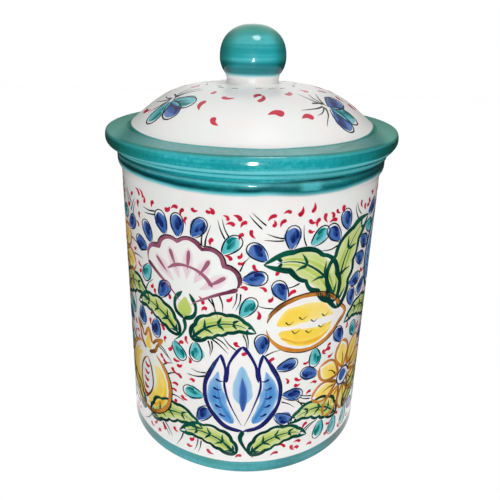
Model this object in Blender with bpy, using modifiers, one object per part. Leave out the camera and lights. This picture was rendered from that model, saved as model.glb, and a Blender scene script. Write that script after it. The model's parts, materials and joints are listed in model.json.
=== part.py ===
"""A lidded ceramic canister, turned and glazed, built from its own three clay pieces.

Run it with blender --background --python part.py, or from Blender's text editor.
Lengths are in metres, +Z is up, and the origin is the middle of the foot.
Every piece is one closed profile, spun round the canister's axis.
"""

import bpy
from math import acos, cos, degrees, pi, radians, sin, sqrt

# The jar
BODY_RADIUS = 0.0620
BODY_HEIGHT = 0.1455
BODY_WALL = 0.0060
FLOOR_THICKNESS = 0.0070
FLOOR_FILLET = 0.0120
FOOT_RING_WIDTH = 0.0080
FOOT_RECESS = 0.0020
FOOT_ROUND = 0.0012
FOOT_FLARE = 0.0004
FOOT_FLARE_HEIGHT = 0.0240
RIM_BULGE = 0.0017
RIM_BEAD_HEIGHT = 0.0032
RIM_RUN_OUT = 0.0026
RIM_SHOULDER = 0.0013
MOUTH_ROUND = 0.0014

# The lid, from its seat on the rim up to the neck
SEAT_CLEARANCE = 0.0003
LIP_REACH = 0.0006
LIP_HEIGHT = 0.0030
LIP_ROUND = 0.0008
EDGE_FOOT_REACH = 0.0012
EDGE_REACH = 0.0043
EDGE_UNDER_HEIGHT = 0.0046
EDGE_UPPER_HEIGHT = 0.0036
EDGE_SHOULDER = 0.0019
BRIM_WIDTH = 0.0078
BRIM_RISE = 0.0005
DOME_RISE = 0.0180
LID_WALL = 0.0050

# The ring under the lid that finds the mouth
MOUTH_CLEARANCE = 0.0015
SKIRT_WALL = 0.0048
SKIRT_DEPTH = 0.0095
SKIRT_ROUND = 0.0012

# The neck on the dome, its spigot and its vent
NECK_RADIUS = 0.0121
NECK_HEIGHT = 0.0033
NECK_FLARE = 0.0026
NECK_ROUND = 0.0007
VENT_RADIUS = 0.0025
SPIGOT_WALL = 0.0028
SPIGOT_HEIGHT = 0.0018
SPIGOT_CLEARANCE = 0.0004

# The hollow knob luted on the neck
KNOB_RADIUS = 0.0153
KNOB_CROWN = 0.0142
KNOB_DROP = 0.0078
KNOB_WALL = 0.0058
KNOB_EDGE_ROUND = 0.0005
LUTING_GAP = 0.0003

# The dome's section: flat crown, full shoulder and a hollow cove at its foot
CROWN_POWER = 4.2
COVE_POWER = 1.4
KNOB_FULLNESS = 2.3

# The fired glazes
TIN_WHITE = (0.86, 0.86, 0.84)
TEAL = (0.06, 0.43, 0.46)
GLAZE_ROUGHNESS = 0.12

# How finely the round shapes are cut
TURN_STEPS = 64
KNOB_STEPS = 48
ARC_STEPS = 4
ROUND_STEPS = 3
SMALL_ROUND_STEPS = 2
CURVE_STEPS = 5
SHORT_CURVE_STEPS = 3
DOME_STEPS = 12
INNER_DOME_STEPS = 7
KNOB_CROWN_STEPS = 9
KNOB_UNDER_STEPS = 4
CAVITY_CROWN_STEPS = 6
CAVITY_UNDER_STEPS = 3
MERGE_DISTANCE = 0.00001

# Sizes that follow from the ones above
RIM_RADIUS = BODY_RADIUS + RIM_BULGE
MOUTH_RADIUS = BODY_RADIUS - BODY_WALL
SEAT_HEIGHT = BODY_HEIGHT + SEAT_CLEARANCE
LIP_RADIUS = RIM_RADIUS + LIP_REACH
EDGE_RADIUS = LIP_RADIUS + EDGE_REACH
EDGE_FOOT_RADIUS = LIP_RADIUS + EDGE_FOOT_REACH
EDGE_HEIGHT = LIP_HEIGHT + EDGE_UNDER_HEIGHT
BRIM_RADIUS = EDGE_RADIUS - EDGE_SHOULDER
BRIM_EDGE_HEIGHT = EDGE_HEIGHT + EDGE_UPPER_HEIGHT
DOME_RADIUS = BRIM_RADIUS - BRIM_WIDTH
DOME_FOOT_HEIGHT = BRIM_EDGE_HEIGHT + BRIM_RISE
CROWN_HEIGHT = DOME_FOOT_HEIGHT + DOME_RISE
NECK_TOP = CROWN_HEIGHT + NECK_HEIGHT
SKIRT_RADIUS = MOUTH_RADIUS - MOUTH_CLEARANCE
SKIRT_INNER_RADIUS = SKIRT_RADIUS - SKIRT_WALL
SPIGOT_RADIUS = VENT_RADIUS + SPIGOT_WALL
KNOB_MOUTH_RADIUS = SPIGOT_RADIUS + SPIGOT_CLEARANCE
KNOB_UNDER = KNOB_DROP / sqrt(1.0 - (NECK_RADIUS / KNOB_RADIUS) ** 2)


def clear_scene():
    """Empties the scene, so the canister stands alone."""
    for item in list(bpy.data.objects):
        bpy.data.objects.remove(item, do_unlink=True)


def make_glaze(name, colour, roughness):
    """Makes one fired glaze as a plain Principled material."""
    glaze = bpy.data.materials.new(name)
    glaze.use_nodes = True
    shader = glaze.node_tree.nodes["Principled BSDF"]
    shader.inputs["Base Color"].default_value = (*colour, 1.0)
    shader.inputs["Roughness"].default_value = roughness
    shader.inputs["Metallic"].default_value = 0.0
    glaze.diffuse_color = (*colour, 1.0)
    return glaze


def arc(centre, radii, start, end, steps=ARC_STEPS):
    """Points along an upright ellipse's arc, in (radius, height), angles in degrees."""
    points = []
    for step in range(steps + 1):
        angle = radians(start + (end - start) * step / steps)
        points.append((centre[0] + radii[0] * cos(angle), centre[1] + radii[1] * sin(angle)))
    return points


def bend(first, pull, last, steps=CURVE_STEPS):
    """Points along a quadratic curve from first to last, drawn towards pull."""
    points = []
    for step in range(steps + 1):
        share = step / steps
        points.append(tuple(
            (1 - share) ** 2 * a + 2 * share * (1 - share) * b + share ** 2 * c
            for a, b, c in zip(first, pull, last)))
    return points


def dome_height(radius, foot_radius, foot_height, rise):
    """Height of the dome at a radius: a flat crown that falls to a hollow cove."""
    share = min(radius / foot_radius, 1.0)
    return foot_height + rise * (1.0 - share ** CROWN_POWER) ** COVE_POWER


def dome(first_radius, last_radius, foot_radius, foot_height, rise, steps):
    """Points down the dome's section, closer together towards its steep shoulder."""
    points = []
    for step in range(steps + 1):
        share = sin(pi / 2 * step / steps)
        radius = first_radius + (last_radius - first_radius) * share
        points.append((radius, dome_height(radius, foot_radius, foot_height, rise)))
    return points


def tidy(points):
    """Drops a point that repeats the one before it."""
    kept = [points[0]]
    for point in points[1:]:
        if abs(point[0] - kept[-1][0]) + abs(point[1] - kept[-1][1]) > MERGE_DISTANCE:
            kept.append(point)
    return kept


def turn(name, points, closed, steps, glaze, collection, parent):
    """Spins a section round the axis, down its outer side first, as a Screw modifier."""
    points = tidy(points)
    mesh = bpy.data.meshes.new(name)
    edges = [(index, index + 1) for index in range(len(points) - 1)]
    if closed:
        edges.append((len(points) - 1, 0))
    mesh.from_pydata([(radius, 0.0, height) for radius, height in points], edges, [])
    mesh.materials.append(glaze)
    piece = bpy.data.objects.new(name, mesh)
    collection.objects.link(piece)
    piece.parent = parent

    spin = piece.modifiers.new("Turned on the wheel", "SCREW")
    spin.axis = "Z"
    spin.angle = 2 * pi
    spin.steps = steps
    spin.render_steps = steps
    spin.use_merge_vertices = True
    spin.merge_threshold = MERGE_DISTANCE
    spin.use_smooth_shade = True
    return piece


def jar_section():
    """The jar, from the middle of its floor inside, over the rim, to the middle underneath."""
    floor_top = FOOT_RECESS + FLOOR_THICKNESS
    bead_bottom = BODY_HEIGHT - RIM_SHOULDER - RIM_BEAD_HEIGHT
    wall_top = bead_bottom - RIM_RUN_OUT
    foot_radius = BODY_RADIUS + FOOT_FLARE
    ring_inner_radius = foot_radius - FOOT_RING_WIDTH

    points = [(0.0, floor_top)]
    points += arc((MOUTH_RADIUS - FLOOR_FILLET, floor_top + FLOOR_FILLET),
                  (FLOOR_FILLET, FLOOR_FILLET), -90, 0)
    points += arc((MOUTH_RADIUS + MOUTH_ROUND, BODY_HEIGHT - MOUTH_ROUND),
                  (MOUTH_ROUND, MOUTH_ROUND), 180, 90, ROUND_STEPS)
    points += arc((RIM_RADIUS - RIM_SHOULDER, BODY_HEIGHT - RIM_SHOULDER),
                  (RIM_SHOULDER, RIM_SHOULDER), 90, 0, ROUND_STEPS)
    points += bend((RIM_RADIUS, bead_bottom + RIM_BEAD_HEIGHT / 2),
                   (RIM_RADIUS, bead_bottom),
                   (BODY_RADIUS + RIM_BULGE / 2, bead_bottom - RIM_RUN_OUT / 2),
                   SHORT_CURVE_STEPS)
    points += bend((BODY_RADIUS + RIM_BULGE / 2, bead_bottom - RIM_RUN_OUT / 2),
                   (BODY_RADIUS, wall_top),
                   (BODY_RADIUS, wall_top - RIM_RUN_OUT),
                   SHORT_CURVE_STEPS)
    points += bend((BODY_RADIUS, FOOT_FLARE_HEIGHT),
                   (BODY_RADIUS, FOOT_FLARE_HEIGHT / 2),
                   (foot_radius, FOOT_ROUND),
                   SHORT_CURVE_STEPS)
    points += arc((foot_radius - FOOT_ROUND, FOOT_ROUND),
                  (FOOT_ROUND, FOOT_ROUND), 0, -90, ROUND_STEPS)
    points += bend((ring_inner_radius, 0.0),
                   (ring_inner_radius - FOOT_RECESS / 2, 0.0),
                   (ring_inner_radius - FOOT_RECESS, FOOT_RECESS),
                   SHORT_CURVE_STEPS)
    points.append((0.0, FOOT_RECESS))
    return points


def lid_neck_section():
    """The spigot and the neck, down to where the neck flares into the dome."""
    flare_radius = NECK_RADIUS + NECK_FLARE
    flare_height = dome_height(flare_radius, DOME_RADIUS, DOME_FOOT_HEIGHT, DOME_RISE)
    points = [(SPIGOT_RADIUS, NECK_TOP + SPIGOT_HEIGHT), (SPIGOT_RADIUS, NECK_TOP)]
    points += arc((NECK_RADIUS - NECK_ROUND, NECK_TOP - NECK_ROUND),
                  (NECK_ROUND, NECK_ROUND), 90, 0, SMALL_ROUND_STEPS)
    points += bend((NECK_RADIUS, CROWN_HEIGHT + NECK_FLARE / 2),
                   (NECK_RADIUS, CROWN_HEIGHT),
                   (flare_radius, flare_height))
    return points


def lid_edge_section():
    """The brim's rounded edge, its tapered underside, the lip and the seat."""
    points = bend((BRIM_RADIUS, BRIM_EDGE_HEIGHT),
                  (EDGE_RADIUS, BRIM_EDGE_HEIGHT),
                  (EDGE_RADIUS, EDGE_HEIGHT))
    points += bend((EDGE_RADIUS, EDGE_HEIGHT),
                   (EDGE_RADIUS, EDGE_HEIGHT - EDGE_UNDER_HEIGHT / 2),
                   (EDGE_FOOT_RADIUS, LIP_HEIGHT))
    points += bend((EDGE_FOOT_RADIUS, LIP_HEIGHT),
                   (LIP_RADIUS, LIP_HEIGHT),
                   (LIP_RADIUS, LIP_HEIGHT / 2),
                   SHORT_CURVE_STEPS)
    points += arc((LIP_RADIUS - LIP_ROUND, LIP_ROUND),
                  (LIP_ROUND, LIP_ROUND), 0, -90, SMALL_ROUND_STEPS)
    return points


def lid_skirt_section():
    """The ring below the seat, down its outer wall and up its inner one."""
    middle = SKIRT_ROUND - SKIRT_DEPTH
    points = [(SKIRT_RADIUS, 0.0)]
    points += arc((SKIRT_RADIUS - SKIRT_ROUND, middle),
                  (SKIRT_ROUND, SKIRT_ROUND), 0, -90, ROUND_STEPS)
    points += arc((SKIRT_INNER_RADIUS + SKIRT_ROUND, middle),
                  (SKIRT_ROUND, SKIRT_ROUND), -90, -180, ROUND_STEPS)
    return points


def lid_section():
    """The whole lid round its vent, in heights above the seat."""
    flare_radius = NECK_RADIUS + NECK_FLARE
    hollow_radius = DOME_RADIUS - LID_WALL
    hollow_height = DOME_FOOT_HEIGHT - LID_WALL
    points = lid_neck_section()
    points += dome(flare_radius, DOME_RADIUS, DOME_RADIUS, DOME_FOOT_HEIGHT, DOME_RISE, DOME_STEPS)
    points += lid_edge_section()
    points += lid_skirt_section()
    hollow = dome(VENT_RADIUS, SKIRT_INNER_RADIUS, hollow_radius, hollow_height,
                  DOME_RISE, INNER_DOME_STEPS)
    points += reversed(hollow)
    points.append((VENT_RADIUS, NECK_TOP + SPIGOT_HEIGHT))
    return points


def knob_half_width(height):
    """Half width of the knob at a height over its middle: a full crown over a flatter underside."""
    if height < 0.0:
        return KNOB_RADIUS * sqrt(1.0 - (height / KNOB_UNDER) ** 2)
    share = min(height / KNOB_CROWN, 1.0)
    return KNOB_RADIUS * (1.0 - share ** KNOB_FULLNESS) ** (1.0 / KNOB_FULLNESS)


def knob_section():
    """The hollow knob, in heights over the neck it is luted on."""
    middle = LUTING_GAP + KNOB_DROP
    inner_radius = KNOB_RADIUS - KNOB_WALL
    inner_crown = KNOB_CROWN - KNOB_WALL
    inner_drop = KNOB_DROP * inner_radius / KNOB_RADIUS
    throat_angle = degrees(acos(KNOB_MOUTH_RADIUS / inner_radius))

    points = []
    for step in range(KNOB_CROWN_STEPS):
        height = KNOB_CROWN * cos(radians(90.0 * step / KNOB_CROWN_STEPS))
        points.append((knob_half_width(height), middle + height))
    for step in range(KNOB_UNDER_STEPS + 1):
        height = -(KNOB_DROP - KNOB_EDGE_ROUND) * step / KNOB_UNDER_STEPS
        points.append((knob_half_width(height), middle + height))
    points.append((NECK_RADIUS - KNOB_EDGE_ROUND, LUTING_GAP))
    points.append((KNOB_MOUTH_RADIUS, LUTING_GAP))
    points += arc((0.0, middle), (inner_radius, inner_drop), -throat_angle, 0, CAVITY_UNDER_STEPS)
    points += arc((0.0, middle), (inner_radius, inner_crown), 0, 90, CAVITY_CROWN_STEPS)
    points[-1] = (0.0, points[-1][1])
    return points


def build():
    clear_scene()
    canister = bpy.data.collections.new("ceramic_canister")
    bpy.context.scene.collection.children.link(canister)

    white_glaze = make_glaze("white_glaze", TIN_WHITE, GLAZE_ROUGHNESS)
    lid_glaze = make_glaze("lid_white_glaze", TIN_WHITE, GLAZE_ROUGHNESS)
    knob_glaze = make_glaze("teal_glaze", TEAL, GLAZE_ROUGHNESS)

    foot = bpy.data.objects.new("canister_foot", None)
    canister.objects.link(foot)
    seat = bpy.data.objects.new("lid_seat", None)
    canister.objects.link(seat)
    seat.parent = foot
    seat.location = (0.0, 0.0, SEAT_HEIGHT)
    neck = bpy.data.objects.new("neck_top", None)
    canister.objects.link(neck)
    neck.parent = seat
    neck.location = (0.0, 0.0, NECK_TOP)

    turn("jar_body", jar_section(), False, TURN_STEPS, white_glaze, canister, foot)
    turn("lid", lid_section(), True, TURN_STEPS, lid_glaze, canister, seat)
    turn("lid_knob", knob_section(), False, KNOB_STEPS, knob_glaze, canister, neck)


build()
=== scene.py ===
# %% [markdown]
# # A hand-painted ceramic canister
# The real jar is three pieces of turned clay: a straight pot, a domed lid and a ball knob luted on top.
# It was fired once, dipped in a white tin glaze, painted with metal-oxide colours on the raw glaze, and
# fired again, so that the paint sank in and the whole skin came out glassy.
# This lesson follows the same order. It reads the fixed model, turns each piece again with a finer
# section, gives it a glaze, and then paints it stroke by stroke.

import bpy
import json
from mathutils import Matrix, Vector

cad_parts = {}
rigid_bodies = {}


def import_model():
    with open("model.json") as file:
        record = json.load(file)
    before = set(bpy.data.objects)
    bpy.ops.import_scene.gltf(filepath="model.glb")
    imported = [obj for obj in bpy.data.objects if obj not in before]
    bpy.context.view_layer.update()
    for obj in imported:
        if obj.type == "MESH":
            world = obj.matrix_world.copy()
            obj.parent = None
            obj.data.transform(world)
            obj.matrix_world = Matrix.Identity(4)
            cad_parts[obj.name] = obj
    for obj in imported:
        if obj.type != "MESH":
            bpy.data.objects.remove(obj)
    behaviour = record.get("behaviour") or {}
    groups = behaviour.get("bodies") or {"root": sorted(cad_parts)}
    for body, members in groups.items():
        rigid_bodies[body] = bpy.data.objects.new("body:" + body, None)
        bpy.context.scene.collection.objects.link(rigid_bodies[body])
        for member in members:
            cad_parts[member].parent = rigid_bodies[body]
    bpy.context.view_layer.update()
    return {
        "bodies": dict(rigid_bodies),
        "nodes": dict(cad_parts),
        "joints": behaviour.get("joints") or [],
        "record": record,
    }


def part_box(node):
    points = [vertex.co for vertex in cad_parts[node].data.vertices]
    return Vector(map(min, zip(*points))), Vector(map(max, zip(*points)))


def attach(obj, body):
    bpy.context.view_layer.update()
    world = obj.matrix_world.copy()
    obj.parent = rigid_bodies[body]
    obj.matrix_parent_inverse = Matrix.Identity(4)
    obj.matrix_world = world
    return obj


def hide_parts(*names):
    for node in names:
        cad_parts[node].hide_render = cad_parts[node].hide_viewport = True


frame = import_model()

# %% Modules and units
import json
from math import atan2, ceil, cos, degrees, floor, hypot, pi, radians, sin

import bpy
import numpy as np
from mathutils import Matrix, Vector

MM = 0.001
scene = bpy.context.scene
scene.view_settings.view_transform = "Standard"


def srgb(red, green, blue):
    """A colour as a screen shows it, 0 to 255, turned into the light that a shader works with."""
    shares = np.array([red, green, blue]) / 255.0
    light = np.where(shares <= 0.04045, shares / 12.92, ((shares + 0.055) / 1.055) ** 2.4)
    return (*(float(part) for part in light), 1.0)


def stand(name, data):
    """Puts a mesh, a lamp or a camera into the scene."""
    piece = bpy.data.objects.new(name, data)
    scene.collection.objects.link(piece)
    return piece


def mesh_of(name, points, faces):
    """A new mesh from its points and its faces."""
    mesh = bpy.data.meshes.new(name)
    mesh.from_pydata(points, [], faces)
    return mesh


# %% [markdown]
# ## Camera
# The photographer stood close, level with the knob, and looked down at the jar, which makes the wall
# taper towards the foot. A short distance and a mild lens give the same taper. The camera was also
# held a little askew, so its picture is rolled.

# %% Camera
CAMERA_BACK = 0.2613
CAMERA_HEIGHT = 0.2021
LOOK_DOWN = 23.02
LOOK_RIGHT = 0.19
CAMERA_ROLL = 1.81
CAMERA_LENS = 38.88
CAMERA_SENSOR = 36.0
CAMERA_NEAR = 0.01

lens = bpy.data.cameras.new("camera")
lens.lens = CAMERA_LENS
lens.sensor_width = CAMERA_SENSOR
lens.clip_start = CAMERA_NEAR
camera = stand("camera", lens)
camera.matrix_world = (
    Matrix.Translation((0.0, -CAMERA_BACK, CAMERA_HEIGHT))
    @ Matrix.Rotation(radians(-LOOK_RIGHT), 4, "Z")
    @ Matrix.Rotation(radians(90.0 - LOOK_DOWN), 4, "X")
    @ Matrix.Rotation(radians(CAMERA_ROLL), 4, "Z")
)
scene.camera = camera
print("Camera stands", round(hypot(CAMERA_BACK, CAMERA_HEIGHT), 3), "m from the foot")

# %% [markdown]
# ## Writing a material as sums
# A glaze is mostly masks: where the band ends, how thick the colour lies, where it pooled. In the
# shader editor each sum is a node. Here a small class wraps a socket, so that a mask is written as
# plain arithmetic and Python lays the nodes.

# %% Numbers that a shader works out
class Number:
    """A shader's number, which takes part in sums as a Python number does."""

    def __init__(self, glaze, socket):
        self.glaze = glaze
        self.socket = socket

    def sum(self, operation, first, second):
        return self.glaze.number("ShaderNodeMath", {"operation": operation}, {0: first, 1: second})

    def __add__(self, other):
        return self.sum("ADD", self, other)

    def __radd__(self, other):
        return self.sum("ADD", other, self)

    def __sub__(self, other):
        return self.sum("SUBTRACT", self, other)

    def __rsub__(self, other):
        return self.sum("SUBTRACT", other, self)

    def __mul__(self, other):
        return self.sum("MULTIPLY", self, other)

    def __rmul__(self, other):
        return self.sum("MULTIPLY", other, self)

    def __truediv__(self, other):
        return self.sum("DIVIDE", self, other)

    def __pow__(self, other):
        return self.sum("POWER", self, other)

    def above(self, start, end):
        """Climbs smoothly from 0 at start to 1 at end."""
        settings = {"interpolation_type": "SMOOTHSTEP"}
        values = {"Value": self, "From Min": start, "From Max": end}
        return self.glaze.number("ShaderNodeMapRange", settings, values)

    def below(self, start, end):
        """Falls smoothly from 1 at start to 0 at end."""
        return 1 - self.above(start, end)


# %% A material, laid node by node
class Glaze:
    """One material and the short words that lay its nodes."""

    def __init__(self, name):
        self.material = bpy.data.materials.new(name)
        self.material.use_nodes = True
        self.tree = self.material.node_tree
        self.shader = self.tree.nodes["Principled BSDF"]

    def node(self, kind, settings, values):
        """Lays one node: its settings first, then its sockets' values or links."""
        node = self.tree.nodes.new(kind)
        for setting, value in settings.items():
            setattr(node, setting, value)
        for name, value in values.items():
            self.feed(node, name, value)
        return node

    def feed(self, node, name, value):
        """Sets a socket, found by its name, identifier or place, or links something to it."""
        if isinstance(name, int):
            socket = node.inputs[name]
        else:
            socket = next(s for s in node.inputs if name in (s.identifier, s.name) and s.enabled)
        if isinstance(value, Number):
            value = value.socket
        if isinstance(value, bpy.types.NodeSocket):
            self.tree.links.new(value, socket)
        else:
            socket.default_value = value

    def number(self, kind, settings, values, result=0):
        return Number(self, self.node(kind, settings, values).outputs[result])

    def mix(self, share, first, second):
        """Blends two colours."""
        values = {"Factor_Float": share, "A_Color": first, "B_Color": second}
        mixed = self.node("ShaderNodeMix", {"data_type": "RGBA", "clamp_factor": True}, values)
        return mixed.outputs[2]

    def place(self, stretch=(1.0, 1.0, 1.0), shift=(0.0, 0.0, 0.0)):
        """Where a point lies on its own piece, stretched for a grain that runs one way."""
        here = self.node("ShaderNodeTexCoord", {}, {}).outputs["Object"]
        values = {0: here, 1: stretch, 2: shift}
        return self.node("ShaderNodeVectorMath", {"operation": "MULTIPLY_ADD"}, values).outputs[0]

    def noise(self, scale, detail=2.0, shift=(0.0, 0.0, 0.0), stretch=(1.0, 1.0, 1.0)):
        """Noise over the piece, shifted where two noises must not match."""
        return self.noise_on(self.place(stretch, shift), scale, detail)

    def noise_on(self, vector, scale, detail=2.0):
        values = {"Vector": vector, "Scale": scale, "Detail": detail}
        return self.number("ShaderNodeTexNoise", {}, values)

    def waves(self, stretch, shift=(0.0, 0.0, 0.0), detail=2.0):
        """Noise with a grain, by how many waves it has to a metre each way."""
        return self.noise(1.0, detail, shift, stretch)

    def split(self, vector):
        """The three numbers of a vector."""
        parts = self.node("ShaderNodeSeparateXYZ", {}, {0: vector})
        return [Number(self, socket) for socket in parts.outputs]

    def round_place(self):
        """How high and how far from the axis a point lies, in millimetres."""
        x, y, z = self.split(self.place())
        return z / MM, (x * x + y * y) ** 0.5 / MM

    def carried(self, name):
        """A number that the mesh carries at each of its points."""
        return self.number("ShaderNodeAttribute", {"attribute_name": name}, {}, "Fac")

    def plain(self, colour, rough):
        """One colour and one roughness all over, for the stage."""
        self.shader.inputs["Base Color"].default_value = colour
        self.shader.inputs["Roughness"].default_value = rough

    def cover(self, share, other):
        """Lets another shader take a share of the surface."""
        values = {0: share, 1: self.shader.outputs[0], 2: other.outputs[0]}
        both = self.node("ShaderNodeMixShader", {}, values).outputs[0]
        self.tree.links.new(both, self.tree.nodes["Material Output"].inputs["Surface"])


# %% [markdown]
# ## Light
# The photograph has a plain white ground, a flash beside the lens and soft light from above. The
# ground is pure white only for the camera and the mirror rays. As a light it is a soft grey, so the
# white glaze keeps its shading.

# %% World and floor
AMBIENT = 0.36
FLOOR_SIZE = 3.0
FLOOR_DROP = 0.05 * MM
FLOOR_GLOW = 0.93
FLOOR_WHITE = 1.04
PAPER = srgb(235, 235, 235)
PAPER_ROUGH = 0.9
PURE_WHITE = (1.0, 1.0, 1.0, 1.0)


def white_world():
    """White where the camera and mirror rays look, and a softer grey as a light."""
    world = bpy.data.worlds.new("white_room")
    world.use_nodes = True
    scene.world = world
    nodes, links = world.node_tree.nodes, world.node_tree.links
    ray = nodes.new("ShaderNodeLightPath")
    seen = ray.outputs["Is Camera Ray"]
    for kind in ("Is Glossy Ray", "Is Transmission Ray"):
        either = nodes.new("ShaderNodeMath")
        either.operation = "MAXIMUM"
        links.new(seen, either.inputs[0])
        links.new(ray.outputs[kind], either.inputs[1])
        seen = either.outputs[0]
    strength = nodes.new("ShaderNodeMapRange")
    strength.inputs["To Min"].default_value = AMBIENT
    links.new(seen, strength.inputs["Value"])
    nodes["Background"].inputs["Color"].default_value = PURE_WHITE
    links.new(strength.outputs[0], nodes["Background"].inputs["Strength"])


def white_floor():
    """A pale sheet that looks white and still takes the jar's soft shadow."""
    half = FLOOR_SIZE / 2
    corners = [(-half, -half), (half, -half), (half, half), (-half, half)]
    mesh = mesh_of("floor", [(x, y, -FLOOR_DROP) for x, y in corners], [(0, 1, 2, 3)])
    paper = Glaze("white_paper")
    paper.plain(PAPER, PAPER_ROUGH)
    glow = paper.node("ShaderNodeEmission", {}, {"Color": PURE_WHITE, "Strength": FLOOR_WHITE})
    ray = paper.node("ShaderNodeLightPath", {}, {})
    seen = Number(paper, ray.outputs["Is Camera Ray"]) + ray.outputs["Is Transmission Ray"]
    paper.cover((seen + ray.outputs["Is Glossy Ray"]) * FLOOR_GLOW, glow)
    mesh.materials.append(paper.material)
    stand("floor", mesh)


white_world()
white_floor()
print("White ground, with", AMBIENT, "of its light on the jar")

# %% [markdown]
# A glossy pot shows its room. In the photograph the painted colours have no milky veil on them, and the
# ends of the brim and the flanks of the knob are dark, so the table and the room at eye level were
# dark. Product photographers get this with black cards. Here a dark cloth lies round the foot and
# rises into a tall ring, thins out towards its top so that it leaves no hard edge in the glaze, and
# only mirror rays see it. Straight behind the jar it is cut lower, because the top of the brim mirrors
# what stands there, and that is pale in the photograph.

# %% Dark cloth for the reflections
CLOTH_RADIUS = 0.55
CLOTH_FOOT = 0.075
CLOTH_TOP = 0.80
CLOTH_DIP = 0.66
DIP_NARROW = 15
CLOTH_PANELS = 96
CLOTH_ROWS = 12
CLOTH_THINS = 0.4
CLOTH_DARK = srgb(52, 58, 54)


def dark_cloth():
    """A dark cloth that lies round the foot and rises into a ring, lower straight behind the jar."""
    points, faces = [], []
    for panel in range(CLOTH_PANELS):
        angle = 2 * pi * panel / CLOTH_PANELS
        top = CLOTH_TOP - CLOTH_DIP * max(0.0, cos(angle)) ** DIP_NARROW
        for row in range(CLOTH_ROWS + 1):
            reach = CLOTH_RADIUS if row else CLOTH_FOOT
            height = top * max(row - 1, 0) / (CLOTH_ROWS - 1) - FLOOR_DROP / 2
            points.append((reach * sin(angle), reach * cos(angle), height))
        here, onward = (CLOTH_ROWS + 1) * panel, (CLOTH_ROWS + 1) * ((panel + 1) % CLOTH_PANELS)
        faces += [(here + i, onward + i, onward + i + 1, here + i + 1) for i in range(CLOTH_ROWS)]
    mesh = mesh_of("dark_cloth", points, faces)
    rows = mesh.attributes.new("row", "FLOAT", "POINT")
    rows.data.foreach_set("value", list(range(CLOTH_ROWS + 1)) * CLOTH_PANELS)
    weave = Glaze("dark_cloth")
    weave.plain(CLOTH_DARK, 1.0)
    gone = weave.node("ShaderNodeBsdfTransparent", {}, {})
    weave.cover(weave.carried("row").above(CLOTH_ROWS * CLOTH_THINS, CLOTH_ROWS), gone)
    mesh.materials.append(weave.material)
    cloth = stand("dark_cloth", mesh)
    for ray in ("camera", "diffuse", "transmission", "shadow"):
        setattr(cloth, "visible_" + ray, False)


dark_cloth()
print("Dark cloth", CLOTH_RADIUS, "m off, up to", CLOTH_TOP, "m")

# %% [markdown]
# The flash gives its light from near the lens. Its face, tall and narrow, is what the glaze mirrors as
# sparks on the knob and the brim. A small window and a wide soft light stand further off in front, and
# the upper light makes the sheen on knob and dome. The fills at the sides and behind light the wall
# and stay out of the mirror rays.

# %% Lamps
AIM = Vector((0.0, 0.0, 0.10))


def lamp(name, place, size, power, tall=0.0):
    """A lamp that faces the jar: a disk, or an upright panel where it is given a height."""
    light = bpy.data.lights.new(name, "AREA")
    light.shape = "RECTANGLE" if tall else "DISK"
    light.size = size
    light.size_y = tall or size
    light.energy = power
    piece = stand(name, light)
    piece.location = place
    piece.rotation_euler = (AIM - Vector(place)).to_track_quat("-Z", "Y").to_euler()
    return piece


lamp("flash", (0.000, -0.300, 0.120), 0.012, 0.075)
lamp("flash_head", (0.006, -0.300, 0.145), 0.020, 0.20, 0.065).visible_diffuse = False
lamp("window", (0.190, -1.050, 0.190), 0.110, 0.50)
lamp("upper_soft", (0.100, -0.260, 0.880), 0.290, 2.10)
lamp("front_soft", (-0.050, -1.050, 0.220), 0.600, 3.00)
for name, place, size, power in (
        ("left_fill", (-0.950, -0.450, 0.150), 0.400, 0.70),
        ("right_fill", (0.950, -0.450, 0.150), 0.400, 0.70),
        ("back_fill", (0.000, 1.300, 0.400), 0.800, 7.00)):
    lamp(name, place, size, power).visible_glossy = False

# %% [markdown]
# ## Turning the pieces again
# A potter turns each piece against one template, its section. The model holds that section with few
# points, because it is cut for sizes and weight. Read back and drawn through with smooth curves, the
# same points give the soft shoulders of a wet, sponged pot. Where the line bends by more than a
# corner's angle it stays a corner.

# %% Reading a section
CORNER = radians(50.0)
BEND_STEP = radians(5.0)
LONG_STEP = 5.0 * MM
TURN_STEPS = 216
SAME_POINT = 1e-6
SLIP_REACH = 0.53 * MM
SLIP_DEPTH = 1.0 * MM
SHARP_CLAY = radians(40.0)


def cad_section(node):
    """The points of a turned node on the half plane y = 0, x > 0, in order, and whether they close.

    A flat floor has no point in its middle, so there the line is led on to the axis.
    """
    mesh = frame["nodes"][node].data
    flat = {}
    for vertex in mesh.vertices:
        x, y, z = vertex.co
        if abs(y) < SAME_POINT and x > -SAME_POINT:
            flat[vertex.index] = (round(max(x, 0.0), 6), round(z, 6))
    links = {}
    for edge in mesh.edges:
        a, b = (flat.get(index) for index in edge.vertices)
        if a and b and a != b:
            links.setdefault(a, set()).add(b)
            links.setdefault(b, set()).add(a)
    ends = sorted(point for point, near in links.items() if len(near) == 1)
    closed = not ends
    chain = [ends[0] if ends else min(links)]
    while True:
        onward = [point for point in sorted(links[chain[-1]]) if point not in chain]
        if not onward:
            break
        chain.append(onward[0])
    if chain[0][0] > 0 and not closed:
        chain.insert(0, (0.0, chain[0][1]))
    if chain[-1][0] > 0 and not closed:
        chain.append((0.0, chain[-1][1]))
    return np.array(chain), closed


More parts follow.
